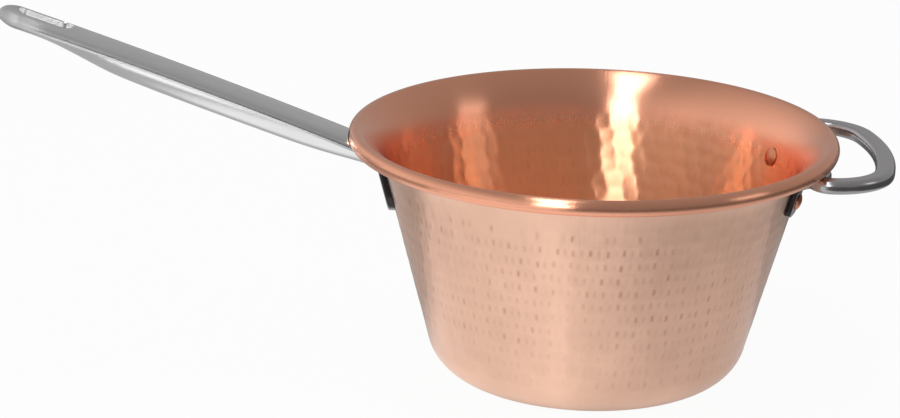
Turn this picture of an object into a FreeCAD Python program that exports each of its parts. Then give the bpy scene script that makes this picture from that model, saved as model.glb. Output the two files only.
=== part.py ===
"""Hammered copper pan with a long tubular steel handle and a steel loop handle opposite.

Frame: +Z up, origin on the table at the middle of the base, long handle towards -X,
loop handle towards +X. Millimetres.
"""
import FreeCAD
import Part

import math
import os

# Pan body: one raised copper sheet
SHEET = 2.0
PAN_HEIGHT = 138.0
RIM_RADIUS = 130.0
BEAD_RADIUS = 4.25
BASE_RADIUS = 83.3
BASE_CORNER_RADIUS = 24.7
LIP_REACH = 11.9
LIP_LEAN = 60.0
CURL_END = 205.0

# Long handle: hollow pressed tube, flattened at both ends
HANDLE_REACH = 186.8
HANDLE_RISE = 20.35
HANDLE_BOW = 1.5
HANDLE_HALF_WIDTH = 11.8
HANDLE_SIDE_DEPTH = 7.6
HANDLE_CROWN_RADIUS = 22.0
HANDLE_SHOULDER_RADIUS = 5.0
HANDLE_BELLY = 10.4
HANDLE_ROOT_BELLY = 6.2
HANDLE_TIP_BELLY = 3.8
HANDLE_SWELL = 60.0
HANDLE_FADE_START = 82.0
HANDLE_FADE_END = 18.0
HANDLE_WALL = 1.5
HANDLE_TOP_AT_RIM = 2.2
HANG_SLOT_WIDTH = 12.0
HANG_SLOT_LENGTH = 31.0
HANG_SLOT_EDGE = 9.5
HANG_SLOT_ROUND = 0.5

# Flange under the long handle
FLANGE_WIDTH = 21.0
FLANGE_THICKNESS = 3.6
FLANGE_TOP = 7.0
FLANGE_BOTTOM = 43.0
FLANGE_EDGE_ROUND = 1.4

# Loop handle: bent bar with a flattened foot at each end
LOOP_REACH = 25.15
LOOP_SPREAD = 13.2
LOOP_GRIP_RADIUS = 150.0
LOOP_ARM_STRAIGHT = 1.2
LOOP_BAR_WIDTH = 10.8
LOOP_BAR_DEPTH = 7.5
LOOP_BAR_ROUND = 3.0
LOOP_END_ROUND = 2.4
LOOP_BEND_RADIUS = 8.0
FOOT_ANGLE = 21.1
FOOT_WIDTH = 16.0
FOOT_THICKNESS = 2.4
FOOT_BOTTOM = 30.5
FOOT_CORNER_RADIUS = 4.0
FOOT_ROOT_DROP = 4.0
FOOT_EDGE_ROUND = 0.7

# Rivets
RIVET_SHANK = 5.0
RIVET_HEAD = 10.6
RIVET_HEAD_HEIGHT = 1.9
RIVET_HEAD_EDGE = 0.6
RIVET_OUTER_HEAD = 9.2
RIVET_OUTER_HEIGHT = 2.0
RIVET_FLUSH_HEAD = 8.4
LOOP_RIVET_DROP = 22.0
HANDLE_RIVET_DROPS = (26.0, 36.5)

# Clearances
SEAT_GAP = 0.1
HOLE_CLEARANCE = 0.1
RIM_CLEARANCE = 0.3

# Farthest that an edge may lie from a face to count as on it
ON_FACE = 0.3

BEAD_Z = PAN_HEIGHT - BEAD_RADIUS
HALF_SHEET = SHEET / 2
CURL_RADIUS = BEAD_RADIUS - HALF_SHEET
UP = FreeCAD.Vector(0, 0, 1)
CENTRE = FreeCAD.Vector(0, 0, 0)


def vec(x, y, z=0.0):
    return FreeCAD.Vector(x, y, z)


def tangent_arc(corner, before, after, radius):
    """Start, middle and end of the arc that rounds a corner between two unit directions."""
    turn = before.getAngle(after)
    reach = radius * math.tan(turn / 2)
    start = corner - before * reach
    end = corner + after * reach
    inward = after - before
    inward.normalize()
    centre = corner + inward * (radius / math.cos(turn / 2))
    middle = centre - inward * radius
    return start, middle, end, centre


def pan_stations():
    """Middle line of the sheet in the X-Z half plane, as named points and arc centres."""
    wall_foot = vec(BASE_RADIUS, 0, 0)
    wall_top = vec(RIM_RADIUS - LIP_REACH, 0, BEAD_Z - BEAD_RADIUS)
    wall_way = (wall_top - wall_foot).normalize()
    outward = vec(wall_way.z, 0, -wall_way.x)
    line_foot = wall_foot - outward * HALF_SHEET
    flat_way = vec(1, 0, 0)
    corner = line_foot + wall_way * ((HALF_SHEET - line_foot.z) / wall_way.z)
    corner_radius = BASE_CORNER_RADIUS - HALF_SHEET
    base_arc = tangent_arc(corner, flat_way, wall_way, corner_radius)

    lean = math.radians(LIP_LEAN)
    lip_way = vec(math.sin(lean), 0, math.cos(lean))
    curl_centre = vec(RIM_RADIUS, 0, BEAD_Z)
    lip_end = curl_centre + vec(-lip_way.z, 0, lip_way.x) * CURL_RADIUS
    across = vec(-wall_way.z, 0, wall_way.x)
    reach = (lip_end - line_foot).dot(across) / lip_way.dot(across)
    neck_corner = lip_end - lip_way * reach
    neck_radius = reach / math.tan((lean - math.atan2(wall_way.x, wall_way.z)) / 2)
    neck_arc = tangent_arc(neck_corner, wall_way, lip_way, neck_radius)
    return base_arc, neck_arc, curl_centre, wall_way, outward


BASE_ARC, NECK_ARC, CURL_CENTRE, WALL_WAY, WALL_OUT = pan_stations()
NECK_CENTRE = NECK_ARC[3]


def wall_radius(z, offset=0.0):
    """Radius of the wall's outer face, moved out by an offset, at a height."""
    foot = vec(BASE_RADIUS, 0, 0) + WALL_OUT * offset
    return foot.x + (z - foot.z) * WALL_WAY.x / WALL_WAY.z


def moved(point, centre, distance):
    """A point of an arc moved away from the arc's centre."""
    way = (point - centre).normalize()
    return point + way * distance


def wall_edges(offset):
    """Base, corner, wall and neck as edges, the sheet's middle line moved out by an offset."""
    b0, b1, b2, bc = BASE_ARC
    n0, n1, n2, nc = NECK_ARC
    base = [moved(p, bc, offset) for p in (b0, b1, b2)]
    neck = [moved(p, nc, -offset) for p in (n0, n1, n2)]
    axis_point = vec(0, 0, base[0].z)
    edges = [
        Part.LineSegment(axis_point, base[0]).toShape(),
        Part.Arc(*base).toShape(),
        Part.LineSegment(base[2], neck[0]).toShape(),
        Part.Arc(*neck).toShape(),
    ]
    return edges, axis_point, neck[2]


def curl_edges(radius):
    """The rolled rim's circle from the lip over the top, outside and under."""
    def on_circle(angle):
        turn = math.radians(angle)
        return CURL_CENTRE + vec(math.cos(turn), 0, math.sin(turn)) * radius
    start = 180.0 - LIP_LEAN
    end = CURL_END - 360.0
    middle = (start + end) / 2
    first = Part.Arc(on_circle(start), on_circle((start + middle) / 2), on_circle(middle))
    second = Part.Arc(on_circle(middle), on_circle((middle + end) / 2), on_circle(end))
    return [first.toShape(), second.toShape()], on_circle(end)


def make_pan_body():
    """Raised copper sheet: flat base, flaring wall, smooth neck and a rim rolled outward."""
    outer, outer_axis, _ = wall_edges(HALF_SHEET)
    inner, inner_axis, _ = wall_edges(-HALF_SHEET)
    outer_curl, outer_end = curl_edges(CURL_RADIUS - HALF_SHEET)
    inner_curl, inner_end = curl_edges(CURL_RADIUS + HALF_SHEET)
    edge = Part.LineSegment(outer_end, inner_end).toShape()
    axis = Part.LineSegment(inner_axis, outer_axis).toShape()
    wire = Part.Wire(Part.__sortEdges__(outer + outer_curl + [edge] + inner_curl + inner + [axis]))
    return Part.Face(wire).revolve(CENTRE, UP, 360)


def wall_envelope(clearance):
    """Everything inside the base, wall and neck, swollen by a clearance."""
    edges, axis_point, lip = wall_edges(HALF_SHEET + clearance)
    top = vec(0, 0, lip.z)
    edges.append(Part.LineSegment(lip, top).toShape())
    edges.append(Part.LineSegment(top, axis_point).toShape())
    wire = Part.Wire(Part.__sortEdges__(edges))
    solid = Part.Face(wire).revolve(CENTRE, UP, 360)
    return solid


def bead_envelope(clearance):
    """The rolled rim as a full ring, swollen by a clearance."""
    return Part.makeTorus(RIM_RADIUS, BEAD_RADIUS + clearance, vec(0, 0, BEAD_Z), UP)


def wall_shell(inner, outer):
    """Layer that lies on the wall's outside between two distances from it."""
    return wall_envelope(outer).cut(wall_envelope(inner))


def tongue(width, corner, z_low, z_high, reach):
    """Upright plate outline with two rounded lower corners, extruded along +X."""
    half = width / 2
    near = vec(0, -half, z_high)
    far = vec(0, half, z_high)
    low_near = vec(0, -half, z_low + corner)
    low_far = vec(0, half, z_low + corner)
    slant = corner * (1 - math.sqrt(0.5))
    arc_near = Part.Arc(low_near, vec(0, -half + slant, z_low + slant), vec(0, -half + corner, z_low))
    arc_far = Part.Arc(vec(0, half - corner, z_low), vec(0, half - slant, z_low + slant), low_far)
    edges = [
        Part.LineSegment(far, near).toShape(),
        Part.LineSegment(near, low_near).toShape(),
        arc_near.toShape(),
        arc_far.toShape(),
        Part.LineSegment(low_far, far).toShape(),
    ]
    if half > corner:
        edges.append(Part.LineSegment(vec(0, -half + corner, z_low), vec(0, half - corner, z_low)).toShape())
    wire = Part.Wire(Part.__sortEdges__(edges))
    return Part.Face(wire).extrude(vec(reach, 0, 0))


def turned(shape, angle):
    """A copy of a shape turned round the pan's axis."""
    copy = shape.copy()
    copy.rotate(CENTRE, UP, angle)
    return copy


def rivet_place(drop, angle):
    """Point on the wall's outer face and outward direction, for a drop below the rim's middle."""
    z = BEAD_Z - drop
    turn = math.radians(angle)
    out = vec(WALL_OUT.x * math.cos(turn), WALL_OUT.x * math.sin(turn), WALL_OUT.z)
    radius = wall_radius(z)
    return vec(radius * math.cos(turn), radius * math.sin(turn), z), out


def dome_arc(radius, edge, height, seat, way):
    """Spherical cap of a rivet head from its edge to its crown, over a seat, upward or downward."""
    sagitta = height - edge
    ball = (radius * radius + sagitta * sagitta) / (2 * sagitta)
    half_turn = math.asin(radius / ball) / 2
    start = vec(radius, 0, seat + way * edge)
    middle = vec(ball * math.sin(half_turn), 0, seat + way * (height - ball * (1 - math.cos(half_turn))))
    end = vec(0, 0, seat + way * height)
    return Part.Arc(start, middle, end).toShape(), start, end


def head_lift(radius):
    """How far a flat round head stands off the middle of the curved wall's hollow side."""
    return radius * radius / (2 * wall_radius(BEAD_Z - LOOP_RIVET_DROP)) + SEAT_GAP


def rivet(drop, angle, grip, flush):
    """One copper rivet, domed inside the pan, domed or flush outside, through the sheet and a plate."""
    shank = RIVET_SHANK / 2
    head = RIVET_HEAD / 2
    inside = -SHEET - head_lift(head)
    cap, cap_edge, crown = dome_arc(head, RIVET_HEAD_EDGE, RIVET_HEAD_HEIGHT, inside, -1)
    edges = [cap]
    outline = [cap_edge, vec(head, 0, inside), vec(shank, 0, inside)]
    if flush:
        end = vec(0, 0, grip)
        outline += [vec(shank, 0, grip - flush_depth()), vec(RIVET_FLUSH_HEAD / 2, 0, grip), end]
    else:
        outer = RIVET_OUTER_HEAD / 2
        seat = grip + SEAT_GAP
        cap, cap_edge, end = dome_arc(outer, RIVET_HEAD_EDGE, RIVET_OUTER_HEIGHT, seat, 1)
        edges.append(cap)
        outline += [vec(shank, 0, seat), vec(outer, 0, seat), cap_edge]
    for a, b in zip(outline, outline[1:]):
        edges.append(Part.LineSegment(a, b).toShape())
    edges.append(Part.LineSegment(end, crown).toShape())
    face = Part.Face(Part.Wire(Part.__sortEdges__(edges)))
    return placed_on_wall(face.revolve(CENTRE, UP, 360), drop, angle)


def flush_depth():
    """Depth of the 90 degree countersink that a flush rivet fills."""
    return (RIVET_FLUSH_HEAD - RIVET_SHANK) / 2


def placed_on_wall(solid, drop, angle):
    """Stands a solid's own Z axis on the wall's outer face, pointing outward."""
    point, out = rivet_place(drop, angle)
    solid.Placement = FreeCAD.Placement(point, FreeCAD.Rotation(UP, out))
    return solid


def rivet_hole(drop, angle, depth, flush_at=None):
    """Cutter for the hole that a rivet passes through, with a countersink where it ends flush."""
    radius = RIVET_SHANK / 2 + HOLE_CLEARANCE
    hole = Part.makeCylinder(radius, depth + 2 * SHEET, vec(0, 0, -2 * SHEET))
    if flush_at is not None:
        sink = flush_depth()
        wide = RIVET_FLUSH_HEAD / 2 + HOLE_CLEARANCE
        cone = Part.makeCone(radius, wide, sink, vec(0, 0, flush_at - sink))
        rim = Part.makeCylinder(wide, SHEET, vec(0, 0, flush_at))
        hole = hole.fuse(cone).fuse(rim)
    return placed_on_wall(hole, drop, angle)


def handle_frame():
    """Arc of the long handle's top line in the X-Z plane, from the pan's wall to the tip."""
    rise = math.radians(HANDLE_RISE)
    along = vec(-math.cos(rise), 0, math.sin(rise))
    start_x = -(RIM_RADIUS - LIP_REACH)
    rim_x = -(RIM_RADIUS + BEAD_RADIUS)
    at_rim = vec(rim_x, 0, BEAD_Z + HANDLE_TOP_AT_RIM)
    start = at_rim - along * ((rim_x - start_x) / along.x)
    tip = start + along * ((rim_x - HANDLE_REACH - start_x) / along.x)
    chord = tip - start
    up = vec(math.sin(rise), 0, math.cos(rise))
    radius = chord.Length ** 2 / (8 * HANDLE_BOW) + HANDLE_BOW / 2
    centre = start + chord * 0.5 - up * (radius - HANDLE_BOW)
    half_turn = math.asin(chord.Length / 2 / radius)
    return centre, radius, half_turn, along, up, chord.Length


ARC_CENTRE, ARC_RADIUS, ARC_HALF_TURN, ALONG, ABOVE, HANDLE_LENGTH = handle_frame()


def handle_station(distance):
    """Top point, direction along and direction up, at a distance along the handle from its root."""
    turn = ARC_HALF_TURN * (2 * distance / HANDLE_LENGTH - 1)
    up = ABOVE * math.cos(turn) + ALONG * math.sin(turn)
    along = ALONG * math.cos(turn) - ABOVE * math.sin(turn)
    return ARC_CENTRE + up * ARC_RADIUS, along, up


def belly_at(distance):
    """Depth of the belly under the handle's sides: flat at the tip, deepest in the middle."""
    if distance <= HANDLE_SWELL:
        share = math.sin(math.pi / 2 * max(distance, 0) / HANDLE_SWELL)
        return HANDLE_ROOT_BELLY + (HANDLE_BELLY - HANDLE_ROOT_BELLY) * share
    from_tip = HANDLE_LENGTH - distance
    share = (HANDLE_FADE_START - from_tip) / (HANDLE_FADE_START - HANDLE_FADE_END)
    share = min(max(share, 0), 1)
    return HANDLE_TIP_BELLY + (HANDLE_BELLY - HANDLE_TIP_BELLY) * (1 + math.cos(math.pi * share)) / 2


def section_places(end):
    """Distances of the loft's sections: from inside the flange, over the swell, then over the fade."""
    fade = HANDLE_LENGTH - HANDLE_FADE_START
    places = [-HANDLE_HALF_WIDTH]
    places += [HANDLE_SWELL * step / 3 for step in range(4)]
    places += [fade + (end - fade) * step / 5 for step in range(6)]
    return places


def half_section(inset, belly):
    """Half of the handle's cross-section, side +Y, from the crown to the bottom of the belly."""
    half = HANDLE_HALF_WIDTH - inset
    crown = HANDLE_CROWN_RADIUS - inset
    shoulder = HANDLE_SHOULDER_RADIUS - inset
    crown_centre = -inset - crown
    level = crown_centre + math.sqrt((crown - shoulder) ** 2 - (half - shoulder) ** 2)
    lean = math.atan2(half - shoulder, level - crown_centre)
    depth = belly - inset
    belly_radius = (half * half + depth * depth) / (2 * depth)
    belly_centre = -HANDLE_SIDE_DEPTH - depth + belly_radius
    spread = math.asin(half / belly_radius)
    if depth > half:
        spread = math.pi - spread

    def on_arc(centre_y, centre_z, radius, angle):
        return centre_y + radius * math.sin(angle), centre_z + radius * math.cos(angle)

    shoulder_y = half - shoulder
    slope = (lean + math.pi / 2) / 2
    return [
        ("point", (0, -inset)),
        ("arc", on_arc(0, crown_centre, crown, lean / 2), on_arc(0, crown_centre, crown, lean)),
        ("arc", on_arc(shoulder_y, level, shoulder, slope), (half, level)),
        ("line", (half, -HANDLE_SIDE_DEPTH)),
        ("arc", on_arc(0, belly_centre, -belly_radius, -spread / 2), (0, -HANDLE_SIDE_DEPTH - depth)),
    ]


def section_edges(pieces, place, side):
    """Edges of a half section, placed by a function, on the +Y or the -Y side."""
    edges = []
    last = pieces[0][1]
    for piece in pieces[1:]:
        end = piece[-1]
        a = place(side * last[0], last[1])
        b = place(side * end[0], end[1])
        if piece[0] == "line":
            edges.append(Part.LineSegment(a, b).toShape())
        else:
            middle = place(side * piece[1][0], piece[1][1])
            edges.append(Part.Arc(a, middle, b).toShape())
        last = end
    return edges


def handle_wire(distance, inset):
    """Closed cross-section of the long handle at a distance from its root."""
    top, _, up = handle_station(distance)

    def place(y, n):
        return top + vec(0, y, 0) + up * n

    pieces = half_section(inset, belly_at(distance))
    right = section_edges(pieces, place, 1)
    left = section_edges(pieces, place, -1)
    return Part.Wire(right + [edge.copy() for edge in reversed(left)])


def handle_core(inset):
    """Outside form of the long handle, or its hollow where inset is the sheet."""
    end = HANDLE_LENGTH - HANDLE_HALF_WIDTH
    body = Part.makeLoft([handle_wire(place, inset) for place in section_places(end)], True, False)

    top, _, up = handle_station(end)
    foot = top - up * HANDLE_HALF_WIDTH * 2

    def place(y, n):
        return top + vec(0, y, 0) + up * n

    pieces = half_section(inset, belly_at(end))
    edges = section_edges(pieces, place, -1)
    edges.append(Part.LineSegment(place(*pieces[-1][-1]), place(*pieces[0][1])).toShape())
    face = Part.Face(Part.Wire(Part.__sortEdges__(edges)))
    nose = face.revolve(foot, up, 180)
    if nose.BoundBox.XMin > body.BoundBox.XMin:
        nose = face.revolve(foot, up, -180)
    return body.fuse(nose).removeSplitter()


def slot_prism(grow):
    """Stadium-shaped hang slot, grown all round, through the handle near its tip."""
    radius = HANG_SLOT_WIDTH / 2 + grow
    straight = HANG_SLOT_LENGTH - HANG_SLOT_WIDTH
    near_tip = HANDLE_LENGTH - HANG_SLOT_EDGE - HANG_SLOT_WIDTH / 2
    top, along, up = handle_station(near_tip - straight / 2)
    height = 3 * HANDLE_HALF_WIDTH
    foot = top - up * (height - HANDLE_SHOULDER_RADIUS)
    ends = []
    for way in (-1, 1):
        ends.append(Part.makeCylinder(radius, height, foot + along * (way * straight / 2), up))
    box = Part.makeBox(straight, 2 * radius, height)
    turn = FreeCAD.Rotation(along, up.cross(along), up)
    corner = foot - along * (straight / 2) - up.cross(along) * radius
    box.Placement = FreeCAD.Placement(corner, turn)
    return box.fuse(ends[0]).fuse(ends[1]).removeSplitter()


def make_long_handle():
    """Hollow steel handle: bellied tube, round tip, walled hang slot, scooped to pass under the rim."""
    hollow = handle_core(HANDLE_WALL).cut(slot_prism(HANDLE_WALL))
    tube = handle_core(0.0).cut(hollow)
    tube = tube.cut(slot_prism(0.0))
    tube = tube.cut(wall_envelope(SEAT_GAP + FLANGE_THICKNESS))
    tube = tube.cut(bead_envelope(RIM_CLEARANCE))
    return round_slot(biggest(tube))


def round_slot(tube):
    """Breaks the sharp edges of the hang slot, above and below."""
    straight = HANG_SLOT_LENGTH - HANG_SLOT_WIDTH
    middle_place = HANDLE_LENGTH - HANG_SLOT_EDGE - HANG_SLOT_LENGTH / 2
    top, along, up = handle_station(middle_place)
    chosen = []
    for edge in tube.Edges:
        offset = edge.valueAt((edge.FirstParameter + edge.LastParameter) / 2) - top
        beyond = max(abs(offset.dot(along)) - straight / 2, 0)
        from_line = math.hypot(beyond, offset.y)
        upright = len(edge.Vertexes) == 2 and abs((edge.Vertexes[0].Point - edge.Vertexes[1].Point).dot(up))
        if abs(from_line - HANG_SLOT_WIDTH / 2) < ON_FACE and upright < HANDLE_WALL:
            chosen.append(edge)
    return tube.makeFillet(HANG_SLOT_ROUND, chosen)


def biggest(shape):
    """The largest solid of a cut shape, so that no chip is left behind."""
    return max(shape.Solids, key=lambda solid: solid.Volume)


def make_flange():
    """Thick steel tongue on the wall below the rim, crowned at its edges, that carries the handle."""
    shell = wall_shell(SEAT_GAP, SEAT_GAP + FLANGE_THICKNESS)
    outline = tongue(FLANGE_WIDTH, FLANGE_WIDTH / 2, BEAD_Z - FLANGE_BOTTOM, BEAD_Z - FLANGE_TOP, RIM_RADIUS)
    plate = biggest(shell.common(outline))
    plate = round_outer_edges(plate, SEAT_GAP + FLANGE_THICKNESS, FLANGE_EDGE_ROUND)
    for drop in HANDLE_RIVET_DROPS:
        plate = plate.cut(rivet_hole(drop, 0, FLANGE_THICKNESS + SHEET, SEAT_GAP + FLANGE_THICKNESS))
    return turned(plate, 180)


def round_outer_edges(plate, offset, radius):
    """Rounds the edges of a plate's outer face, apart from the top one under the rim."""
    chosen = []
    for edge in plate.Edges:
        middle = edge.valueAt((edge.FirstParameter + edge.LastParameter) / 2)
        ends = [vertex.Point for vertex in edge.Vertexes]
        off = max(abs(math.hypot(p.x, p.y) - wall_radius(p.z, offset)) for p in ends + [middle])
        if off < ON_FACE:
            chosen.append(edge)
    return plate.makeFillet(radius, chosen)


def foot_root(z):
    """Fillet under the bar, between a foot and the bar's underside, as a ring round the pan."""
    under = z - LOOP_BAR_DEPTH / 2
    low = under - FOOT_ROOT_DROP
    face = SEAT_GAP + FOOT_THICKNESS
    foot_face = vec(wall_radius(low, face), 0, low)
    corner = vec(wall_radius(under, face), 0, under)
    bar_face = vec(bar_seat_radius(z) + SEAT_GAP + LOOP_BAR_WIDTH / 2, 0, under)
    hollow = corner + (foot_face + bar_face - corner * 2) * (1 - math.sqrt(0.5))
    outline = [bar_face, vec(bar_face.x, 0, z), vec(wall_radius(z), 0, z), vec(wall_radius(low), 0, low), foot_face]
    edges = [Part.Arc(foot_face, hollow, bar_face).toShape()]
    for a, b in zip(outline, outline[1:]):
        edges.append(Part.LineSegment(a, b).toShape())
    ring = Part.Face(Part.Wire(Part.__sortEdges__(edges))).revolve(CENTRE, UP, 360)
    return ring.cut(wall_envelope(SEAT_GAP))


def loop_path():
    """Middle line of half the loop's bar: along the wall, a bend, the arm, a corner, the grip."""
    z = BEAD_Z - BEAD_RADIUS - RIM_CLEARANCE - LOOP_BAR_DEPTH / 2
    turn = math.radians(FOOT_ANGLE)
    seat = bar_seat_radius(z) + LOOP_BAR_WIDTH / 2 + SEAT_GAP
    foot = vec(seat * math.cos(turn), seat * math.sin(turn), z)
    along_wall = vec(-math.sin(turn), math.cos(turn), 0)
    start = foot - along_wall * (FOOT_WIDTH + LOOP_END_ROUND) / 2
    elbow = foot + along_wall * (LOOP_SPREAD / along_wall.y)
    b0, b1, b2, _ = tangent_arc(elbow, along_wall, vec(1, 0), LOOP_BEND_RADIUS)

    grip_x = RIM_RADIUS + BEAD_RADIUS + LOOP_REACH
    corner_x = b2.x + LOOP_ARM_STRAIGHT
    depth = corner_x - grip_x + LOOP_GRIP_RADIUS
    squares = LOOP_GRIP_RADIUS ** 2 - elbow.y ** 2 - depth ** 2
    corner_radius = squares / (2 * (LOOP_GRIP_RADIUS - elbow.y))
    corner = vec(corner_x, elbow.y - corner_radius, z)
    grip_centre = vec(grip_x - LOOP_GRIP_RADIUS, 0, z)
    out = (corner - grip_centre).normalize()
    c0 = corner + vec(0, corner_radius, 0)
    c1 = corner + (vec(0, 1, 0) + out).normalize() * corner_radius
    c2 = corner + out * corner_radius
    edges = [
        Part.LineSegment(start, b0).toShape(),
        Part.Arc(b0, b1, b2).toShape(),
        Part.LineSegment(b2, c0).toShape(),
        Part.Arc(c0, c1, c2).toShape(),
    ]
    return edges, start, along_wall, c2, vec(grip_x, 0, z)


def bar_seat_radius(z):
    """Largest radius of the neck's outer face over the bar's depth."""
    high = z + LOOP_BAR_DEPTH / 2
    radius = (NECK_ARC[0] - NECK_CENTRE).Length - HALF_SHEET
    rise = high - NECK_CENTRE.z
    return NECK_CENTRE.x - math.sqrt(radius * radius - rise * rise)


def bar_section(point, way):
    """Rounded-rectangle cross-section of the loop's bar, standing across a direction."""
    side = UP.cross(way)
    half_w = LOOP_BAR_WIDTH / 2
    half_d = LOOP_BAR_DEPTH / 2
    r = LOOP_BAR_ROUND
    cut = r * (1 - math.sqrt(0.5))

    def at(u, v):
        return point + side * u + UP * v

    edges = []
    quarter = [(1, 1), (-1, 1), (-1, -1), (1, -1)]
    for index, (su, sv) in enumerate(quarter):
        level = at(su * half_w, sv * (half_d - r))
        upright = at(su * (half_w - r), sv * half_d)
        middle = at(su * (half_w - cut), sv * (half_d - cut))
        edges.append(Part.Arc(level, middle, upright).toShape())
        nu, nv = quarter[(index + 1) % 4]
        if index % 2 == 0:
            edges.append(Part.LineSegment(upright, at(nu * (half_w - r), nv * half_d)).toShape())
        else:
            edges.append(Part.LineSegment(level, at(nu * half_w, nv * (half_d - r))).toShape())
    return Part.Wire(Part.__sortEdges__(edges))


def mirrored(shape):
    """A copy of a shape on the other side of the X-Z plane."""
    return shape.mirror(CENTRE, vec(0, 1, 0))


def round_bar_ends(bar, start):
    """Rounds the two cut ends of the loop's bar."""
    chosen = []
    for face in bar.Faces:
        middle = face.CenterOfMass
        if (vec(middle.x, abs(middle.y), middle.z) - start).Length < ON_FACE:
            chosen += face.Edges
    return bar.makeFillet(LOOP_END_ROUND, chosen)


def make_loop_handle():
    """Bent steel bar under the rim, with a flattened foot at each end riveted to the wall."""
    half, start, way, grip_end, grip_middle = loop_path()
    near_end = vec(grip_end.x, -grip_end.y, grip_end.z)
    grip = Part.Arc(grip_end, grip_middle, near_end).toShape()
    path = Part.Wire(Part.__sortEdges__(half + [grip] + [mirrored(edge) for edge in half]))
    bar = path.makePipeShell([bar_section(start, way)], True, False)
    bar = round_bar_ends(bar, start).cut(wall_envelope(SEAT_GAP))
    shell = wall_shell(SEAT_GAP, SEAT_GAP + FOOT_THICKNESS)
    outline = tongue(FOOT_WIDTH, FOOT_CORNER_RADIUS, BEAD_Z - FOOT_BOTTOM, start.z, RIM_RADIUS)
    foot = biggest(shell.common(outline))
    foot = round_outer_edges(foot, SEAT_GAP + FOOT_THICKNESS, FOOT_EDGE_ROUND)
    foot = foot.fuse(foot_root(start.z).common(outline))
    foot = biggest(foot.cut(rivet_hole(LOOP_RIVET_DROP, 0, FOOT_THICKNESS + SHEET)))
    handle = bar
    for side in (-1, 1):
        handle = handle.fuse(turned(foot, side * FOOT_ANGLE))
    return biggest(handle)


def make_pieces():
    """Every node of the pan by name."""
    body = make_pan_body()
    handle_rivets = []
    loop_rivets = []
    for drop in HANDLE_RIVET_DROPS:
        body = body.cut(rivet_hole(drop, 180, SHEET))
        handle_rivets.append(rivet(drop, 180, SEAT_GAP + FLANGE_THICKNESS, True))
    for side in (-1, 1):
        angle = side * FOOT_ANGLE
        body = body.cut(rivet_hole(LOOP_RIVET_DROP, angle, SHEET))
        loop_rivets.append(rivet(LOOP_RIVET_DROP, angle, SEAT_GAP + FOOT_THICKNESS, False))
    return {
        "pan_body": body,
        "long_handle": make_long_handle(),
        "long_handle_flange": make_flange(),
        "long_handle_rivets": Part.makeCompound(handle_rivets),
        "loop_handle": make_loop_handle(),
        "loop_handle_rivets": Part.makeCompound(loop_rivets),
    }


os.makedirs("parts", exist_ok=True)
for name, shape in make_pieces().items():
    shape.exportStep("parts/" + name + ".step")
    print(name, len(shape.Solids), "solids", round(shape.Volume / 1000, 2), "cm3", shape.isValid())
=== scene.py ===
"""Hammered copper pan with a long steel handle and a steel loop handle, dressed for the camera."""

import math

import bmesh
import bpy
from mathutils import Matrix, Quaternion, Vector


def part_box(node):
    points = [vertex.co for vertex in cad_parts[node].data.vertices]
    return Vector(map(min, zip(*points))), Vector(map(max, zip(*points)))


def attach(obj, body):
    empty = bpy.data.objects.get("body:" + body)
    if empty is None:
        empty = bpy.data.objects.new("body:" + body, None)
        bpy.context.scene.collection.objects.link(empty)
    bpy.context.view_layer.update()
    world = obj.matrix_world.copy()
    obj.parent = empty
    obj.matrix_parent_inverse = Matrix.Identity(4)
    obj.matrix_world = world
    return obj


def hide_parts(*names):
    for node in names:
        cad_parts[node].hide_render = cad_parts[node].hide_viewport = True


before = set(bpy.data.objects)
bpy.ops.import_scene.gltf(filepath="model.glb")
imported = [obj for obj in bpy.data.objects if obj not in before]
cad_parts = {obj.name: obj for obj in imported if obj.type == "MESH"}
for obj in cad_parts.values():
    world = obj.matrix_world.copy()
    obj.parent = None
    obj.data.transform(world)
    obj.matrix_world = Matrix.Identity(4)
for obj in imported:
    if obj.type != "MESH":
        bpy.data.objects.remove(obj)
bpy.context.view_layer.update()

# Pan body
# One raised copper sheet: a flat base, a flaring wall, a smooth neck and a rim rolled outward.
# The wall is hammered in rows from outside, so each blow is a hollow outside and a swell inside.
SHEET = 0.002
BEAD_RADIUS = 0.00425
BASE_RADIUS = 0.0833
BASE_CORNER_RADIUS = 0.0247
LIP_REACH = 0.0119
LIP_LEAN = math.radians(60)
CURL_TURN = math.radians(275)
SPIN_STEPS = 400
HALF_SHEET = SHEET / 2

pan_low, pan_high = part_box("pan_body")
RIM_RADIUS = pan_high.x - BEAD_RADIUS
BEAD_Z = pan_high.z - BEAD_RADIUS


def across(way):
    """Direction a quarter turn clockwise from another, in the X-Z plane."""
    return Vector((way.z, 0, -way.x))


wall_top = Vector((RIM_RADIUS - LIP_REACH, 0, BEAD_Z - BEAD_RADIUS))
wall_way = (wall_top - Vector((BASE_RADIUS, 0, 0))).normalized()
wall_out = across(wall_way)
wall_lean = math.atan2(wall_way.x, wall_way.z)
lip_way = Vector((math.sin(LIP_LEAN), 0, math.cos(LIP_LEAN)))

middle_foot = Vector((BASE_RADIUS, 0, 0)) - wall_out * HALF_SHEET
base_corner = middle_foot + wall_way * ((HALF_SHEET - middle_foot.z) / wall_way.z)
base_turn = math.pi / 2 - wall_lean
base_radius = BASE_CORNER_RADIUS - HALF_SHEET
base_reach = base_radius * math.tan(base_turn / 2)
base_centre = base_corner + Vector((-base_reach, 0, base_radius))

curl_centre = Vector((RIM_RADIUS, 0, BEAD_Z))
curl_radius = BEAD_RADIUS - HALF_SHEET
lip_end = curl_centre - across(lip_way) * curl_radius
neck_reach = (lip_end - middle_foot).dot(wall_out) / lip_way.dot(wall_out)
neck_corner = lip_end - lip_way * neck_reach
neck_turn = LIP_LEAN - wall_lean
neck_radius = neck_reach / math.tan(neck_turn / 2)
neck_centre = neck_corner - wall_way * neck_reach + wall_out * neck_radius
wall_start = base_centre + wall_out * base_radius
wall_length = (neck_corner - wall_start).length - neck_reach


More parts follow.
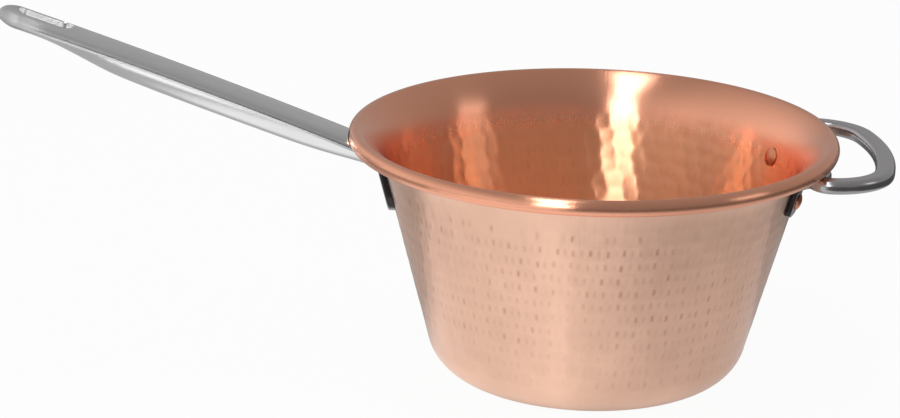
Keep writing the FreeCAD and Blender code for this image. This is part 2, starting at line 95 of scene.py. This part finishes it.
def draw_line(bm, vert, way, length, steps):
    """Extrudes a vertex along a straight line in equal steps and returns the last one."""
    for _ in range(steps):
        vert = bmesh.ops.extrude_vert_indiv(bm, verts=[vert])["verts"][0]
        bmesh.ops.translate(bm, verts=[vert], vec=way * (length / steps))
    return vert


def draw_arc(bm, vert, centre, turn, steps):
    """Spins a vertex round a centre in the X-Z plane, clockwise, and returns the last one."""
    made = bmesh.ops.spin(bm, geom=[vert], cent=centre, axis=(0, 1, 0), angle=turn, steps=steps)
    return [item for item in made["geom_last"] if isinstance(item, bmesh.types.BMVert)][0]


def draw_face_line(bm, side, curl_steps):
    """One face of the sheet from the axis to the end of the rolled rim: side 1 outside, -1 inside."""
    vert = bm.verts.new((0, 0, HALF_SHEET * (1 - side)))
    vert[inner_share] = (1 - side) / 2
    vert = draw_line(bm, vert, Vector((1, 0, 0)), base_centre.x, 8)
    vert = draw_arc(bm, vert, base_centre, -base_turn, 12)
    vert = draw_line(bm, vert, wall_way, wall_length, 67)
    vert = draw_arc(bm, vert, neck_centre, neck_turn, 8)
    return draw_arc(bm, vert, curl_centre, CURL_TURN, curl_steps)


body = bmesh.new()
inner_share = body.verts.layers.float.new("inner")
sheet_ends = [draw_face_line(body, 1, 12), draw_face_line(body, -1, 24)]
body.edges.new(sheet_ends)
bmesh.ops.spin(body, geom=body.verts[:] + body.edges[:], cent=(0, 0, 0), axis=(0, 0, 1),
               angle=math.tau, steps=SPIN_STEPS, use_merge=True)
bmesh.ops.remove_doubles(body, verts=body.verts, dist=1e-6)
bmesh.ops.recalc_face_normals(body, faces=body.faces)

BLOW_PITCH = 0.0088
ROW_PITCH = 0.0084
ROWS = 12
FIRST_ROW_DROP = 0.0025
ROW_SHIFT = 0.618
BLOW_REACH = 0.0055
BLOW_DEPTH = 0.0002
BLOW_WANDER = 0.16
RIVET_FLAT = 0.0065
RIVET_FADE = 0.005
RIVET_SPOTS = ((180, 0.026), (180, 0.0365), (21.1, 0.022), (-21.1, 0.022))
neck_start = wall_start + wall_way * wall_length


def row_radius(row):
    """Radius of the wall at the middle of a row of blows."""
    return neck_start.x - (FIRST_ROW_DROP + (row + 0.5) * ROW_PITCH) * wall_way.x


def wander(row, blow):
    """How far a blow lands from its even place, from -1 to 1 each way, the same on each run."""
    return math.sin(row * 12.9 + blow * 7.3), math.cos(row * 4.1 + blow * 9.7)


def blow_depth(turn, drop):
    """Depth of the hammered hollow at a place on the wall, from the nearest blow."""
    nearest = BLOW_REACH ** 2
    here = math.floor((drop - FIRST_ROW_DROP) / ROW_PITCH)
    for row in range(max(here - 1, 0), min(here + 2, ROWS)):
        radius = row_radius(row)
        count = round(math.tau * radius / BLOW_PITCH)
        place = turn / math.tau * count + row * ROW_SHIFT
        for blow in range(math.floor(place) - 1, math.floor(place) + 2):
            aside, down = wander(row, blow % count)
            across_gap = (place - blow - 0.5 - BLOW_WANDER * aside) * math.tau * radius / count
            down_gap = drop - FIRST_ROW_DROP - (row + 0.5 + BLOW_WANDER * down) * ROW_PITCH
            nearest = min(nearest, across_gap ** 2 + down_gap ** 2)
    return BLOW_DEPTH * (1 - nearest / BLOW_REACH ** 2)


def rivet_share(turn, radius, z):
    """0 on the flat seat of a rivet, 1 away from it."""
    share = 1.0
    for azimuth, drop in RIVET_SPOTS:
        aside = math.remainder(turn - math.radians(azimuth), math.tau) * radius
        gap = math.hypot(aside, (BEAD_Z - drop - z) / wall_way.z)
        share = min(share, max((gap - RIVET_FLAT) / RIVET_FADE, 0))
    return share


for vert in body.verts:
    radius = math.hypot(vert.co.x, vert.co.y)
    from_foot = Vector((radius, 0, vert.co.z)) - wall_start
    height = from_foot.dot(wall_way)
    offset = from_foot.dot(wall_out)
    if 0 < height < wall_length and abs(abs(offset) - HALF_SHEET) < HALF_SHEET / 10:
        turn = math.atan2(vert.co.y, vert.co.x)
        depth = blow_depth(turn, wall_length - height) * rivet_share(turn, radius, vert.co.z)
        inward = Vector((-wall_out.x * math.cos(turn), -wall_out.x * math.sin(turn), -wall_out.z))
        vert.co += inward * depth

pan_mesh = bpy.data.meshes.new("copper_pan")
body.to_mesh(pan_mesh)
body.free()
pan = bpy.data.objects.new("copper_pan", pan_mesh)
bpy.context.scene.collection.objects.link(pan)
pan_mesh.polygons.foreach_set("use_smooth", [True] * len(pan_mesh.polygons))


def link_value(tree, socket, value):
    """Gives a socket a value, or a link where the value is another node's output."""
    if isinstance(value, bpy.types.NodeSocket):
        tree.links.new(value, socket)
    else:
        socket.default_value = value


def calc(tree, operation, *values):
    """Output of a Math node with its inputs set or linked."""
    node = tree.nodes.new("ShaderNodeMath")
    node.operation = operation
    for socket, value in zip(node.inputs, values):
        link_value(tree, socket, value)
    return node.outputs[0]


def vector_number(tree, operation, first, second):
    """Number from a Vector Math node: a distance or a dot product."""
    node = tree.nodes.new("ShaderNodeVectorMath")
    node.operation = operation
    tree.links.new(first, node.inputs[0])
    node.inputs[1].default_value = second
    return node.outputs["Value"]


def ease(tree, value, low, high):
    """Smooth step of a value, from 0 at low to 1 at high."""
    node = tree.nodes.new("ShaderNodeMapRange")
    node.interpolation_type = "SMOOTHSTEP"
    for name, number in (("Value", value), ("From Min", low), ("From Max", high)):
        link_value(tree, node.inputs[name], number)
    return node.outputs["Result"]


def blend_colour(tree, share, first, second):
    """Colour between two others."""
    node = tree.nodes.new("ShaderNodeMix")
    node.data_type = "RGBA"
    link_value(tree, node.inputs["Factor"], share)
    link_value(tree, node.inputs["A"], first)
    link_value(tree, node.inputs["B"], second)
    return node.outputs["Result"]


def noise(tree, place, scale, detail=2.0):
    """Value of a noise texture at a place."""
    node = tree.nodes.new("ShaderNodeTexNoise")
    link_value(tree, node.inputs["Vector"], place)
    node.inputs["Scale"].default_value = scale
    node.inputs["Detail"].default_value = detail
    return node.outputs["Fac"]


def join_xyz(tree, *values):
    """Vector from three numbers."""
    node = tree.nodes.new("ShaderNodeCombineXYZ")
    for socket, value in zip(node.inputs, values):
        link_value(tree, socket, value)
    return node.outputs[0]


def random_values(tree, first, second):
    """Three chance numbers from 0 to 1 that belong to a pair of whole numbers."""
    node = tree.nodes.new("ShaderNodeTexWhiteNoise")
    node.noise_dimensions = "2D"
    tree.links.new(join_xyz(tree, first, second, 0.0), node.inputs["Vector"])
    split = tree.nodes.new("ShaderNodeSeparateColor")
    tree.links.new(node.outputs["Color"], split.inputs[0])
    return split.outputs[0], split.outputs[1], split.outputs[2]


def make_group(name, *outputs):
    """Empty shader node group with number outputs, and its output node."""
    group = bpy.data.node_groups.new(name, "ShaderNodeTree")
    for output in outputs:
        group.interface.new_socket(output, in_out="OUTPUT", socket_type="NodeSocketFloat")
    return group, group.nodes.new("NodeGroupOutput")


MARK_HALF_WIDTH = 0.17
MARK_HALF_HEIGHT = 0.32
MARK_SHIFT = 0.12
MARK_LEAN = 0.12
MARK_DROP = 0.14
MARK_LEAST = 0.3
BETWEEN_SHARE = 0.4
FIRST_ROW_LEAST = 0.6
PATCH_SCALE = 16.0
PATCH_EDGES = (0.38, 0.62)
LOW_ROWS = (5.5, 10.5)
LOW_ROWS_LOSS = 0.6
NECK_EDGES = (0.014, -0.007)
STREAK_SCALE = 900.0
STREAK_ROUND = 0.1
STREAK_DOWN = 0.06
CLOUD_SCALE = 22.0
hammer_group, hammer_out = make_group("hammer_marks", "Mark", "Facet", "Neck", "Streak", "Cloud")
place = hammer_group.nodes.new("ShaderNodeTexCoord").outputs["Object"]
split = hammer_group.nodes.new("ShaderNodeSeparateXYZ")
hammer_group.links.new(place, split.inputs[0])
turn = calc(hammer_group, "ARCTAN2", split.outputs["Y"], split.outputs["X"])
drop = calc(hammer_group, "SUBTRACT", neck_start.z, split.outputs["Z"])
drop = calc(hammer_group, "SUBTRACT", calc(hammer_group, "DIVIDE", drop, wall_way.z), FIRST_ROW_DROP)
rows_down = calc(hammer_group, "DIVIDE", drop, ROW_PITCH)
row = calc(hammer_group, "FLOOR", rows_down)
in_row = calc(hammer_group, "SUBTRACT", calc(hammer_group, "SUBTRACT", rows_down, row), 0.5)
radius = calc(hammer_group, "MULTIPLY_ADD", row, -ROW_PITCH * wall_way.x, row_radius(0))
count = calc(hammer_group, "ROUND", calc(hammer_group, "MULTIPLY", radius, math.tau / BLOW_PITCH))
blows = calc(hammer_group, "MULTIPLY", calc(hammer_group, "DIVIDE", turn, math.tau), count)
blows = calc(hammer_group, "MULTIPLY_ADD", row, ROW_SHIFT, blows)
half_steps = calc(hammer_group, "ROUND", calc(hammer_group, "MULTIPLY", blows, 2.0))
chance = random_values(hammer_group, half_steps, row)
own_chance = random_values(hammer_group, calc(hammer_group, "FLOOR", blows), row)
aside = calc(hammer_group, "MULTIPLY_ADD", half_steps, -0.5, blows)
aside = calc(hammer_group, "MULTIPLY_ADD", calc(hammer_group, "SUBTRACT", chance[0], 0.5), MARK_SHIFT, aside)
lean = calc(hammer_group, "MULTIPLY", calc(hammer_group, "SUBTRACT", chance[1], 0.5), MARK_LEAN)
aside = calc(hammer_group, "ABSOLUTE", calc(hammer_group, "MULTIPLY_ADD", in_row, lean, aside))
sunk = calc(hammer_group, "MULTIPLY_ADD", calc(hammer_group, "SUBTRACT", chance[2], 0.5), MARK_DROP, in_row)
beside = ease(hammer_group, aside, MARK_HALF_WIDTH, 0.0)
within = ease(hammer_group, calc(hammer_group, "ABSOLUTE", sunk), MARK_HALF_HEIGHT, MARK_HALF_HEIGHT / 3)
strength = calc(hammer_group, "MULTIPLY_ADD", chance[1], 1.0 - MARK_LEAST, MARK_LEAST)
patch = ease(hammer_group, noise(hammer_group, place, PATCH_SCALE, 1.0), *PATCH_EDGES)
strength = calc(hammer_group, "MULTIPLY", strength,
                calc(hammer_group, "MULTIPLY_ADD", patch, 1.0 - MARK_LEAST, MARK_LEAST))
low_rows = ease(hammer_group, row, *LOW_ROWS)
strength = calc(hammer_group, "MULTIPLY", strength,
                calc(hammer_group, "MULTIPLY_ADD", low_rows, -LOW_ROWS_LOSS, 1.0))
between = calc(hammer_group, "FLOORED_MODULO", half_steps, 2.0)
strength = calc(hammer_group, "MULTIPLY", strength,
                calc(hammer_group, "MULTIPLY_ADD", between, BETWEEN_SHARE - 1.0, 1.0))
hammered = calc(hammer_group, "GREATER_THAN", calc(hammer_group, "ADD", row, chance[2]), FIRST_ROW_LEAST)
hammered = calc(hammer_group, "MULTIPLY", hammered, calc(hammer_group, "LESS_THAN", row, ROWS - 0.5))
mark = calc(hammer_group, "MULTIPLY", calc(hammer_group, "MULTIPLY", beside, within), strength)
hammer_group.links.new(calc(hammer_group, "MULTIPLY", mark, hammered), hammer_out.inputs["Mark"])
hammer_group.links.new(calc(hammer_group, "MULTIPLY", own_chance[0], hammered), hammer_out.inputs["Facet"])
hammer_group.links.new(ease(hammer_group, drop, *NECK_EDGES), hammer_out.inputs["Neck"])
round_place = join_xyz(hammer_group, calc(hammer_group, "MULTIPLY", turn, STREAK_ROUND),
                       calc(hammer_group, "MULTIPLY", split.outputs["Z"], STREAK_DOWN), 0.0)
hammer_group.links.new(noise(hammer_group, round_place, STREAK_SCALE, 3.0), hammer_out.inputs["Streak"])
hammer_group.links.new(noise(hammer_group, place, CLOUD_SCALE, 3.0), hammer_out.inputs["Cloud"])

NECK_POLISH = -0.07
CLOUD_EDGES = (0.3, 0.7)
CLOUD_SHADE = 0.9
MARK_SHADE_AND_TONE = (0.36, 0.14, 0.08, 1)
FACET_TONE = 0.06
MARK_PAINTED_SHADE = 0.5
MARK_LOSS_INSIDE = 0.75
STREAK_ROUGHNESS = 0.1
STREAK_RELIEF = 0.15
MARK_RELIEF = 0.00008
RING_WISE = 0.25


def make_copper(name, roughness, polish, stretch, satin, polished, inner_wall_bounce_red):
    """Copper with ring-wise polish, fine streaks and hammer marks: satin outside, polished inside, where it
    is painted a deeper red as painted shade for light bounced between the walls.
    """
    material = bpy.data.materials.new(name)
    material.use_nodes = True
    tree = material.node_tree
    shader = tree.nodes["Principled BSDF"]
    marks = tree.nodes.new("ShaderNodeGroup")
    marks.node_tree = hammer_group
    inner = tree.nodes.new("ShaderNodeAttribute")
    inner.attribute_name = "inner"
    clouds = ease(tree, marks.outputs["Cloud"], *CLOUD_EDGES)
    shaded = tuple(CLOUD_SHADE * channel for channel in satin[:3]) + (1,)
    outer_colour = blend_colour(tree, clouds, satin, shaded)
    painted_bounce_colour = blend_colour(tree, marks.outputs["Neck"], inner_wall_bounce_red, polished)
    colour = blend_colour(tree, inner.outputs["Fac"], outer_colour, painted_bounce_colour)
    mark = calc(tree, "MULTIPLY_ADD", inner.outputs["Fac"], -MARK_LOSS_INSIDE, 1.0)
    mark = calc(tree, "MULTIPLY", marks.outputs["Mark"], mark)
    # Painted shade: the seams of the hammer marks are darkened towards a dark brown; each blow also gets a
    # random tone of it.
    crease_shade_and_tone = calc(tree, "MULTIPLY", mark, MARK_PAINTED_SHADE)
    crease_shade_and_tone = calc(tree, "MULTIPLY_ADD", marks.outputs["Facet"], FACET_TONE, crease_shade_and_tone)
    colour = blend_colour(tree, crease_shade_and_tone, colour, MARK_SHADE_AND_TONE)
    tree.links.new(colour, shader.inputs["Base Color"])
    least = roughness - STREAK_ROUGHNESS / 2
    grain = calc(tree, "MULTIPLY_ADD", marks.outputs["Streak"], STREAK_ROUGHNESS, least)
    grain = calc(tree, "MULTIPLY_ADD", inner.outputs["Fac"], polish - roughness, grain)
    smoother = calc(tree, "MULTIPLY", inner.outputs["Fac"], marks.outputs["Neck"])
    grain = calc(tree, "MULTIPLY_ADD", smoother, NECK_POLISH, grain)
    tree.links.new(grain, shader.inputs["Roughness"])
    shader.inputs["Metallic"].default_value = 1.0
    shader.inputs["Anisotropic"].default_value = stretch
    shader.inputs["Anisotropic Rotation"].default_value = RING_WISE
    tangent = tree.nodes.new("ShaderNodeTangent")
    tangent.direction_type = "RADIAL"
    tangent.axis = "Z"
    tree.links.new(tangent.outputs["Tangent"], shader.inputs["Tangent"])
    bump = tree.nodes.new("ShaderNodeBump")
    bump.invert = True
    bump.inputs["Distance"].default_value = MARK_RELIEF
    streaks = calc(tree, "MULTIPLY_ADD", marks.outputs["Streak"], STREAK_RELIEF, mark)
    tree.links.new(streaks, bump.inputs["Height"])
    tree.links.new(bump.outputs["Normal"], shader.inputs["Normal"])
    return material


# Painted shade: the inner colours are a deeper red than the outer one, for light bounced inside the pan.
pan_mesh.materials.append(make_copper("copper", 0.25, 0.31, 0.98, (0.94, 0.59, 0.44, 1),
                                      (0.97, 0.45, 0.29, 1), (0.93, 0.48, 0.28, 1)))
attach(pan, "root")
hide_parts("pan_body")

# Rivets
# Copper rivets hold both handles: two hidden in the flange and one through each foot of the loop.
# Their heads are hammered domes, a little redder than the sheet and painted darker, as painted shade.
RIVET_SHADED_RED = (0.72, 0.30, 0.17, 1)
rivet_copper = make_copper("rivet_copper", 0.34, 0.34, 0.0, RIVET_SHADED_RED, RIVET_SHADED_RED, RIVET_SHADED_RED)
for name in ("long_handle_rivets", "loop_handle_rivets"):
    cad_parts[name].data.materials.clear()
    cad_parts[name].data.materials.append(rivet_copper)

# Long handle and its flange
# Stainless steel: a pressed hollow tube with a hang slot, on a thick tongue against the wall.
# Both are satin polished along their length. The tongue is painted a darker steel than the tube, and its
# cut edges near black, as painted shade; the walls of the slot are painted near white, as painted light.
HANDLE_RISE = math.radians(20.35)
HANDLE_END_WAY = (-0.9448, 0, 0.3277)
# The tip is rougher, and painted a darker grey as painted shade.
GREY_TIP_SPAN = (0.340, 0.362)
TIP_SHADE_GREY = (0.50, 0.50, 0.50, 1)
TIP_SHADE_SHARE = 0.8
TIP_ROUGHER = 0.36
SLOT_MIDDLE = 0.3456
SLOT_HALF_STRAIGHT = 0.0095
SLOT_RADIUS = 0.0062
SLOT_PAINTED_LIGHT = (0.99, 0.99, 0.99, 1)
SLOT_SMOOTHER = 0.7
FLANGE_EDGE_TOP = 0.130
CUT_EDGE_SHADE = (0.05, 0.045, 0.045, 1)
CUT_EDGE_FACING = (0.5, 0.8)
CUT_EDGE_FADE = 0.002
GRAIN_STRETCH = 0.04
GRAIN_SCALE = 2500.0
GRAIN_ROUGHNESS = 0.12
GRAIN_RELIEF = 0.00002
SMEAR_SCALE = 160.0
SMEAR_SHADE = 0.88


def make_steel(name, roughness, along, colour):
    """Satin stainless steel with a fine grain along one direction."""
    material = bpy.data.materials.new(name)
    material.use_nodes = True
    tree = material.node_tree
    shader = tree.nodes["Principled BSDF"]
    mapping = tree.nodes.new("ShaderNodeMapping")
    tree.links.new(tree.nodes.new("ShaderNodeTexCoord").outputs["Object"], mapping.inputs["Vector"])
    mapping.inputs["Rotation"].default_value = (0, along, 0)
    mapping.inputs["Scale"].default_value = (GRAIN_STRETCH, 1, 1)
    grain = noise(tree, mapping.outputs["Vector"], GRAIN_SCALE, 3.0)
    smears = noise(tree, mapping.outputs["Vector"], SMEAR_SCALE, 3.0)
    darker = tuple(channel * SMEAR_SHADE for channel in colour[:3]) + (1,)
    tree.links.new(blend_colour(tree, smears, colour, darker), shader.inputs["Base Color"])
    rough = calc(tree, "MULTIPLY_ADD", grain, GRAIN_ROUGHNESS, roughness - GRAIN_ROUGHNESS / 2)
    tree.links.new(rough, shader.inputs["Roughness"])
    shader.inputs["Metallic"].default_value = 1.0
    bump = tree.nodes.new("ShaderNodeBump")
    bump.inputs["Distance"].default_value = GRAIN_RELIEF
    tree.links.new(grain, bump.inputs["Height"])
    tree.links.new(bump.outputs["Normal"], shader.inputs["Normal"])
    return material


def paint_shade_on_cut_edges(material, top):
    """Paints the cut edges that face sideways, below a height, near black as painted shade."""
    tree = material.node_tree
    shader = tree.nodes["Principled BSDF"]
    facing = tree.nodes.new("ShaderNodeNewGeometry").outputs["Normal"]
    sideways = calc(tree, "ABSOLUTE", vector_number(tree, "DOT_PRODUCT", facing, (0, 1, 0)))
    place = tree.nodes.new("ShaderNodeTexCoord").outputs["Object"]
    height = vector_number(tree, "DOT_PRODUCT", place, (0, 0, 1))
    below = ease(tree, height, top, top - CUT_EDGE_FADE)
    share = calc(tree, "MULTIPLY", ease(tree, sideways, *CUT_EDGE_FACING), below)
    colour = shader.inputs["Base Color"].links[0].from_socket
    tree.links.new(blend_colour(tree, share, colour, CUT_EDGE_SHADE), shader.inputs["Base Color"])


handle_steel = make_steel("handle_steel", 0.2, HANDLE_RISE, (0.88, 0.88, 0.89, 1))
tree = handle_steel.node_tree
shader = tree.nodes["Principled BSDF"]
place = tree.nodes.new("ShaderNodeTexCoord").outputs["Object"]
along = vector_number(tree, "DOT_PRODUCT", place, HANDLE_END_WAY)
grey_tip = ease(tree, along, *GREY_TIP_SPAN)
rough = calc(tree, "MULTIPLY_ADD", grey_tip, TIP_ROUGHER, shader.inputs["Roughness"].links[0].from_socket)
beyond = calc(tree, "ABSOLUTE", calc(tree, "SUBTRACT", along, SLOT_MIDDLE))
beyond = calc(tree, "MAXIMUM", calc(tree, "SUBTRACT", beyond, SLOT_HALF_STRAIGHT), 0.0)
aside = vector_number(tree, "DOT_PRODUCT", place, (0, 1, 0))
gap = calc(tree, "ADD", calc(tree, "MULTIPLY", beyond, beyond), calc(tree, "MULTIPLY", aside, aside))
in_slot = calc(tree, "LESS_THAN", gap, SLOT_RADIUS ** 2)
colour = shader.inputs["Base Color"].links[0].from_socket
# Painted shade: the tip turns to a darker grey.
colour = blend_colour(tree, calc(tree, "MULTIPLY", grey_tip, TIP_SHADE_SHARE), colour, TIP_SHADE_GREY)
# Painted light: the slot's walls are painted near white.
colour = blend_colour(tree, in_slot, colour, SLOT_PAINTED_LIGHT)
tree.links.new(colour, shader.inputs["Base Color"])
rough = calc(tree, "MULTIPLY", rough, calc(tree, "MULTIPLY_ADD", in_slot, -SLOT_SMOOTHER, 1.0))
tree.links.new(rough, shader.inputs["Roughness"])
# Painted shade: the flange's steel is a darker grey than the handle's.
flange_steel = make_steel("flange_steel", 0.2, HANDLE_RISE, (0.72, 0.72, 0.73, 1))
paint_shade_on_cut_edges(flange_steel, FLANGE_EDGE_TOP)
for name, steel in (("long_handle", handle_steel), ("long_handle_flange", flange_steel)):
    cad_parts[name].data.materials.clear()
    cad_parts[name].data.materials.append(steel)

# Loop handle
# One bent stainless bar, its ends flattened into feet against the wall under the rim.
# It is satin polished, and painted darker than the long handle as painted shade; its feet's cut edges are
# painted near black, also as painted shade.
FOOT_EDGE_TOP = 0.121
# Painted shade: a darker steel than the long handle's.
loop_steel = make_steel("loop_steel", 0.22, 0.0, (0.52, 0.50, 0.51, 1))
paint_shade_on_cut_edges(loop_steel, FOOT_EDGE_TOP)
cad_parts["loop_handle"].data.materials.clear()
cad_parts["loop_handle"].data.materials.append(loop_steel)

# Floor
# A wide white sheet under the pan, which keeps its soft shadow. The camera sees it plain white, but what
# the metal mirrors is another floor: pools of light placed round the pan and by the long handle,
# one of them brighter than white, dimmer on the pan's right and nearly dark further off.
FLOOR_RADIUS = 12.0
PAN_POOL = ((0.0, 0.0, 0.0), 0.25, 0.36)
PAN_SHADE = ((0.0, 0.0, 0.0), 0.066, 0.082)
UNDER_HANDLE = ((-0.30, 0.10, 0.0), 0.22, 0.30)
BEHIND_HANDLE = ((-0.40, 0.62, 0.0), 0.30, 0.38)
HANDLE_POOL = ((-0.47, -0.45, 0.0), 0.30, 0.37)
FAR_LEVEL = 0.08
LIT_LEVEL = 0.97
SHADE_LEVEL = 0.66
HANDLE_POOL_LEVEL = 1.2
UNDER_LEVEL = 0.46
SHADE_DEPTH = 0.6
BACK_EDGES = (-0.01, 0.08)
SHADE_EDGES = (-0.08, 0.08)
BRIGHT_SIDE = math.radians(75)
SHEET_GLOW = 0.95
SHEET_WHITES = ((0.90, 0.90, 0.90, 1), (0.88, 0.88, 0.88, 1))
SHEET_CLOUD_SCALE = 3.0


def pool_share(tree, place, middle, full, faded):
    """1 within a radius round a middle, easing to 0 at a larger one."""
    return ease(tree, vector_number(tree, "DISTANCE", place, middle), faded, full)


floor_bm = bmesh.new()
bmesh.ops.create_circle(floor_bm, cap_ends=True, segments=64, radius=FLOOR_RADIUS)
floor_mesh = bpy.data.meshes.new("floor")
floor_bm.to_mesh(floor_mesh)
floor_bm.free()
floor = bpy.data.objects.new("floor", floor_mesh)
bpy.context.scene.collection.objects.link(floor)
paper = bpy.data.materials.new("paper")
paper.use_nodes = True
tree = paper.node_tree
shader = tree.nodes["Principled BSDF"]
shader.inputs["Roughness"].default_value = 0.9
shader.inputs["Specular IOR Level"].default_value = 0.0
place = tree.nodes.new("ShaderNodeTexCoord").outputs["Object"]
clouds = noise(tree, place, SHEET_CLOUD_SCALE)
tree.links.new(blend_colour(tree, clouds, *SHEET_WHITES), shader.inputs["Base Color"])
rays = tree.nodes.new("ShaderNodeLightPath")
seen = calc(tree, "MAXIMUM", rays.outputs["Is Camera Ray"], rays.outputs["Is Glossy Ray"])
seen = calc(tree, "MAXIMUM", seen, rays.outputs["Is Transmission Ray"])
towards_light = vector_number(tree, "DOT_PRODUCT", place, (-math.sin(BRIGHT_SIDE), -math.cos(BRIGHT_SIDE), 0))
lit = ease(tree, towards_light, *SHADE_EDGES)
lit = calc(tree, "MULTIPLY_ADD", lit, LIT_LEVEL - SHADE_LEVEL, SHADE_LEVEL)
back = ease(tree, vector_number(tree, "DOT_PRODUCT", place, (0, 1, 0)), *BACK_EDGES)
lit = calc(tree, "MINIMUM", lit, calc(tree, "MULTIPLY_ADD", back, UNDER_LEVEL - 1.0, 1.0))
# Painted shadow: a dark ring round the pan's foot in what the metal mirrors.
painted_contact_shade = calc(tree, "MULTIPLY_ADD", pool_share(tree, place, *PAN_SHADE), -SHADE_DEPTH, 1.0)
pool = calc(tree, "MULTIPLY", calc(tree, "MULTIPLY", pool_share(tree, place, *PAN_POOL), lit), painted_contact_shade)
for spot, level in ((HANDLE_POOL, HANDLE_POOL_LEVEL), (UNDER_HANDLE, UNDER_LEVEL), (BEHIND_HANDLE, 1.0)):
    share = calc(tree, "MULTIPLY", pool_share(tree, place, *spot), level)
    pool = calc(tree, "MAXIMUM", pool, share)
pool = calc(tree, "MAXIMUM", pool, FAR_LEVEL)
glow = tree.nodes.new("ShaderNodeEmission")
glow.inputs["Color"].default_value = (1, 1, 1, 1)
white = calc(tree, "MULTIPLY_ADD", rays.outputs["Is Camera Ray"], calc(tree, "SUBTRACT", 1.0, pool), pool)
tree.links.new(white, glow.inputs["Strength"])
mix = tree.nodes.new("ShaderNodeMixShader")
tree.links.new(calc(tree, "MULTIPLY", seen, SHEET_GLOW), mix.inputs["Fac"])
tree.links.new(shader.outputs["BSDF"], mix.inputs[1])
tree.links.new(glow.outputs["Emission"], mix.inputs[2])
tree.links.new(mix.outputs["Shader"], tree.nodes["Material Output"].inputs["Surface"])
floor_mesh.materials.append(paper)

# Light
# A studio room that is bright on the left and dim on the right, and three soft lights that face the pan.
# Their places and levels were fitted to the light and dark bands that the copper shows.
ROOM_LEVEL = 0.33
LEFT_BRIGHTER = 0.70
LEFT_SIDE = (0.1, 0.8)
LEFT_LOSS_UP = 0.8
BACK_BRIGHTER = 0.08
BACK_SIDE = (-0.2, 0.8)
BACK_LOSS_UP = 0.6
DIM_WAY = (0.42, -0.88, 0.22)
DIM_SIDE = (0.55, 0.95)
DIM_DARKER = 0.05
world = bpy.data.worlds.new("studio")
bpy.context.scene.world = world
world.use_nodes = True
tree = world.node_tree
way = tree.nodes.new("ShaderNodeTexCoord").outputs["Generated"]
leftward = ease(tree, vector_number(tree, "DOT_PRODUCT", way, (-1, 0, 0)), *LEFT_SIDE)
backward = ease(tree, vector_number(tree, "DOT_PRODUCT", way, (0, 1, 0)), *BACK_SIDE)
upward = vector_number(tree, "DOT_PRODUCT", way, (0, 0, 1))
leftward = calc(tree, "MULTIPLY", leftward, calc(tree, "MULTIPLY_ADD", upward, -LEFT_LOSS_UP, 1.0))
backward = calc(tree, "MULTIPLY", backward, calc(tree, "MULTIPLY_ADD", upward, -BACK_LOSS_UP, 1.0))
room = calc(tree, "MULTIPLY_ADD", leftward, LEFT_BRIGHTER, ROOM_LEVEL)
room = calc(tree, "MULTIPLY_ADD", backward, BACK_BRIGHTER, room)
dimmed = ease(tree, vector_number(tree, "DOT_PRODUCT", way, DIM_WAY), *DIM_SIDE)
room = calc(tree, "MULTIPLY_ADD", dimmed, -DIM_DARKER, room)
tree.links.new(room, tree.nodes["Background"].inputs["Strength"])
tree.nodes["Background"].inputs["Color"].default_value = (1, 1, 1, 1)


def add_softbox(name, azimuth, elevation, roll, distance, width, height, radiance):
    """Rectangular light that faces the pan: azimuth in degrees from straight ahead, to the left."""
    light = bpy.data.lights.new(name, "AREA")
    light.shape = "RECTANGLE"
    light.size = width
    light.size_y = height
    light.energy = radiance * math.pi * width * height
    lamp = bpy.data.objects.new(name, light)
    bpy.context.scene.collection.objects.link(lamp)
    turn, rise = math.radians(azimuth), math.radians(elevation)
    way = Vector((-math.sin(turn) * math.cos(rise), -math.cos(turn) * math.cos(rise), math.sin(rise)))
    lamp.location = way * distance + Vector((0, 0, BEAD_Z))
    aim = way.to_track_quat("Z", "Y") @ Quaternion((0, 0, 1), math.radians(roll))
    lamp.rotation_euler = aim.to_euler()
    lamp.visible_camera = False


add_softbox("key_light", azimuth=21.5, elevation=22, roll=0, distance=2.4, width=0.62, height=1.15,
            radiance=5.3)
add_softbox("boom_light", azimuth=45, elevation=73, roll=32, distance=1.6, width=0.24, height=1.90,
            radiance=4.7)
add_softbox("side_light", azimuth=-73, elevation=22, roll=0, distance=2.0, width=0.60, height=0.70,
            radiance=0.9)

# Camera
# The photograph's viewpoint: a little above the rim, turned towards the long handle.
CAMERA_PLACE = (-0.12403, -1.57593, 0.5907)
CAMERA_TURN = math.radians(-1.687)
CAMERA_TILT = math.radians(72.427)
CAMERA_ROLL = math.radians(1.268)
SENSOR_WIDTH = 36.0
FOCAL_LENGTH = 120.02
camera_data = bpy.data.cameras.new("camera")
camera_data.sensor_width = SENSOR_WIDTH
camera_data.lens = FOCAL_LENGTH
camera = bpy.data.objects.new("camera", camera_data)
bpy.context.scene.collection.objects.link(camera)
camera.matrix_world = (Matrix.Translation(CAMERA_PLACE) @ Matrix.Rotation(CAMERA_TURN, 4, "Z")
                       @ Matrix.Rotation(CAMERA_TILT, 4, "X") @ Matrix.Rotation(CAMERA_ROLL, 4, "Z"))
bpy.context.scene.camera = camera
bpy.context.scene.view_settings.view_transform = "Standard"
